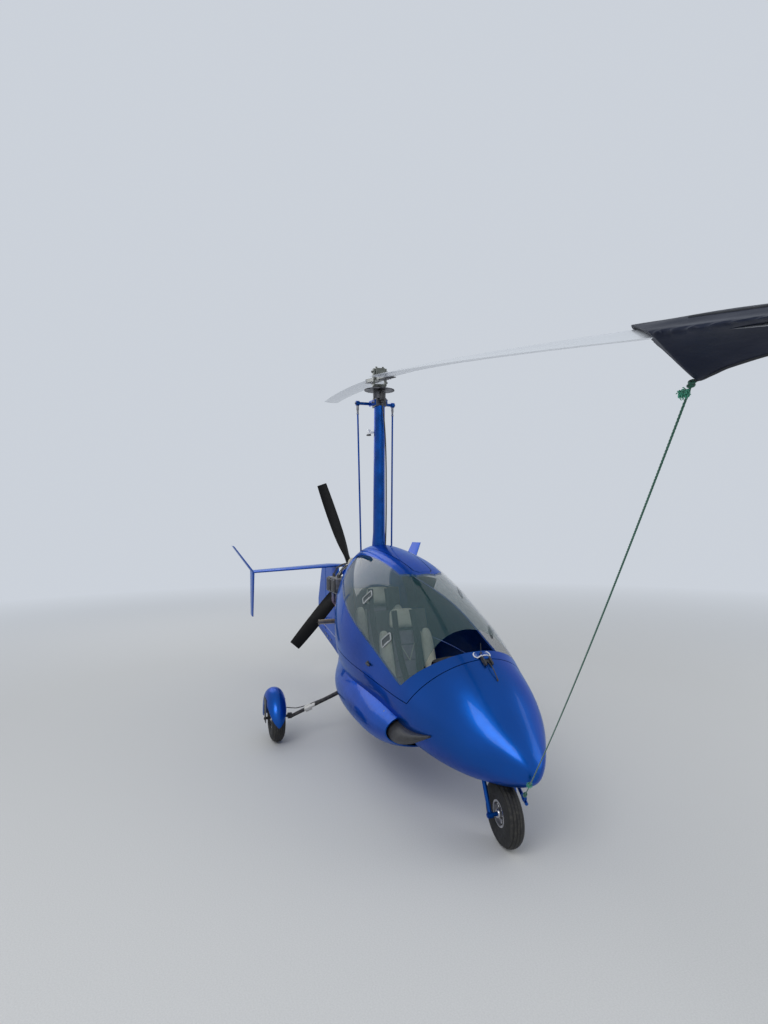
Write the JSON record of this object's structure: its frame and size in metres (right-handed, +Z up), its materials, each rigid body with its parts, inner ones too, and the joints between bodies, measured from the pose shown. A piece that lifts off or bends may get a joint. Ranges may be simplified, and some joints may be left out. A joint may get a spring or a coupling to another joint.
{
  "type": "two-seat gyroplane",
  "caption": "Tandem two-seat gyroplane with an enclosed cabin, mast-mounted teetering rotor, pusher propeller and tricycle gear.",
  "frame": {"origin": "on the ground below the rotor hub, at the centre of the overall box", "axes": "+X forward along the body, +Y to port, +Z up"},
  "size_m": [8.2173, 2.072, 3.5501],
  "materials": {
    "blue_gelcoat": "metallic blue clear-coated composite",
    "blue_paint": "blue powder coat",
    "tinted_glass": "teal tinted acrylic",
    "dark_steel": "dark steel",
    "silver": "machined aluminium",
    "tyre_rubber": "black ribbed rubber",
    "blade_white": "grey-white blade paint",
    "cover_fabric": "dark padded fabric",
    "lamp": "clear lamp cap",
    "propeller_black": "black carbon composite",
    "cast_alloy": "grey cast alloy",
    "exhaust_steel": "heat-stained steel",
    "seat_cloth": "grey and cream trim",
    "cabin_black": "black trim"
  },
  "bodies": {
    "airframe": {"hull": "blue_gelcoat", "canopy_hinge": "dark_steel", "sponson_left": "blue_gelcoat", "sponson_right": "blue_gelcoat", "main_gear_legs": "dark_steel", "mudguards": "blue_gelcoat", "guard_plates": "dark_steel", "steering_bearing": "dark_steel", "mast": "blue_paint", "rotor_head": "dark_steel", "control_rods": "blue_paint", "head_bracket": "blue_paint", "beacon": "lamp", "engine_block": "cast_alloy", "engine_cylinders": "cast_alloy", "reduction_gearbox": "cast_alloy", "exhaust": "exhaust_steel", "engine_mount": "blue_paint", "radiator": "cast_alloy", "keel": "blue_paint", "fin": "blue_gelcoat", "stabilizer": "blue_gelcoat", "tip_fins": "blue_gelcoat", "cabin_floor": "cabin_black", "front_seat": "seat_cloth", "rear_seat": "seat_cloth", "instrument_panel": "cabin_black", "control_sticks": "cabin_black"},
    "canopy": {"canopy_frame": "blue_gelcoat", "canopy_glass": "tinted_glass"},
    "main_wheel_left": {"main_tyre_left": "tyre_rubber", "main_rim_left": "silver"},
    "main_wheel_right": {"main_tyre_right": "tyre_rubber", "main_rim_right": "silver"},
    "nose_gear": {"nose_fork": "blue_paint", "tow_bar": "blue_paint"},
    "nose_wheel": {"nose_tyre": "tyre_rubber", "nose_rim": "silver"},
    "propeller": {"propeller_hub": "silver", "propeller_blades": "propeller_black"},
    "rudder": {"rudder": "blue_gelcoat"},
    "rotor_shaft": {"ring_gear": "dark_steel", "teeter_tower": "silver"},
    "rotor": {"hub_bar": "silver", "blade_front": "blade_white", "blade_rear": "blade_white", "tip_cover": "cover_fabric"}
  },
  "joints": [
    {"name": "main_wheel_left_spin", "type": "hinge", "parent": "airframe", "child": "main_wheel_left", "pos_m": [-0.043, 0.852, 0.178], "axis": [0, 1, 0], "continuous": true},
    {"name": "main_wheel_right_spin", "type": "hinge", "parent": "airframe", "child": "main_wheel_right", "pos_m": [-0.043, -0.852, 0.178], "axis": [0, 1, 0], "continuous": true},
    {"name": "nose_steer", "type": "hinge", "parent": "airframe", "child": "nose_gear", "pos_m": [1.775, 0, 0.36], "axis": [-0.3746, 0, 0.9272], "range_deg": [-19.5, 30.5]},
    {"name": "nose_wheel_spin", "type": "hinge", "parent": "nose_gear", "child": "nose_wheel", "pos_m": [1.85699, -0.00029, 0.165], "axis": [0.0889, 0.9954, 0.0359], "continuous": true},
    {"name": "propeller_spin", "type": "hinge", "parent": "airframe", "child": "propeller", "pos_m": [-0.85, 0, 1.21], "axis": [1, 0, 0], "continuous": true},
    {"name": "rudder_swing", "type": "hinge", "parent": "airframe", "child": "rudder", "pos_m": [-1.88, 0, 0.9], "axis": [0, 0, 1], "range_deg": [-25, 25]},
    {"name": "canopy_lift", "type": "hinge", "parent": "airframe", "child": "canopy", "pos_m": [1.69, 0, 0.905], "axis": [0, 1, 0], "range_deg": [0, 40]},
    {"name": "rotor_spin", "type": "hinge", "parent": "airframe", "child": "rotor_shaft", "pos_m": [0, 0, 2.886], "axis": [0.0523, 0, 0.9986], "continuous": true},
    {"name": "rotor_teeter", "type": "hinge", "parent": "rotor_shaft", "child": "rotor", "pos_m": [0, 0, 2.886], "axis": [0.139, 0.9903, -0.0073], "range_deg": [-16.6, 0]}
  ]
}
